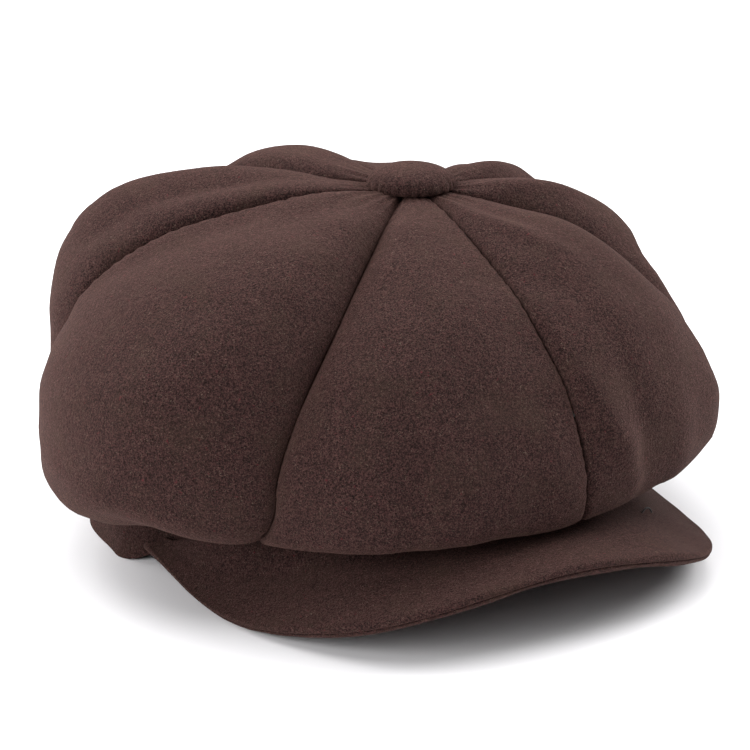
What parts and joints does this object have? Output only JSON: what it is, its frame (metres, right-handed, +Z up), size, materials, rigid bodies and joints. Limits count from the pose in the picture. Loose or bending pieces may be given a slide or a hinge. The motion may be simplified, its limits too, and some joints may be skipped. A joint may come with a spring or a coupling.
{
  "type": "newsboy cap",
  "caption": "Soft panelled wool cap with a puffed crown gathered to a covered button, a lined head band and a short stiff curved peak.",
  "frame": {"origin": "middle of the cap's bounding box, on the floor it rests on", "axes": "+Z up, -Y towards the front of the peak, +X towards the wearer's left"},
  "size_m": [0.2872, 0.2926, 0.151],
  "materials": {
    "melton_wool": "brushed dark brown melton wool, matt with a short heathered nap",
    "lining_satin": "smooth dark brown polyester satin",
    "buckram_canvas": "stiffened natural cotton canvas",
    "sweatband_twill": "dark brown cotton twill",
    "board_polythene": "plain off-white sheet",
    "button_aluminium": "pressed sheet, satin",
    "sewing_thread": "dark brown spun polyester thread"
  },
  "bodies": {
    "cap": {"crown_panel_1": "melton_wool", "crown_panel_2": "melton_wool", "crown_panel_3": "melton_wool", "crown_panel_4": "melton_wool", "crown_panel_5": "melton_wool", "crown_panel_6": "melton_wool", "crown_panel_7": "melton_wool", "crown_panel_8": "melton_wool", "lining_panel_1": "lining_satin", "lining_panel_2": "lining_satin", "lining_panel_3": "lining_satin", "lining_panel_4": "lining_satin", "lining_panel_5": "lining_satin", "lining_panel_6": "lining_satin", "lining_panel_7": "lining_satin", "lining_panel_8": "lining_satin", "headband": "melton_wool", "band_buckram": "buckram_canvas", "sweatband": "sweatband_twill", "apex_patch": "buckram_canvas"},
    "peak": {"peak_top_cover": "melton_wool", "peak_board": "board_polythene", "peak_under_cover": "melton_wool", "front_tack_1": "sewing_thread", "front_tack_2": "sewing_thread", "front_tack_3": "sewing_thread"},
    "button": {"button_cover": "melton_wool", "button_shell": "button_aluminium", "button_back_plate": "button_aluminium", "button_shank": "button_aluminium", "button_retainer": "button_aluminium"}
  },
  "joints": [
    {"name": "peak_flex", "type": "hinge", "parent": "cap", "child": "peak", "pos_m": [0.00343, -0.00505, 0.005], "axis": [1, 0, 0], "range_deg": [0, 8]},
    {"name": "button_turn", "type": "hinge", "parent": "cap", "child": "button", "pos_m": [0.01543, 0.00295, 0.14], "axis": [0, 0, 1], "range_deg": [-20, 20]}
  ]
}
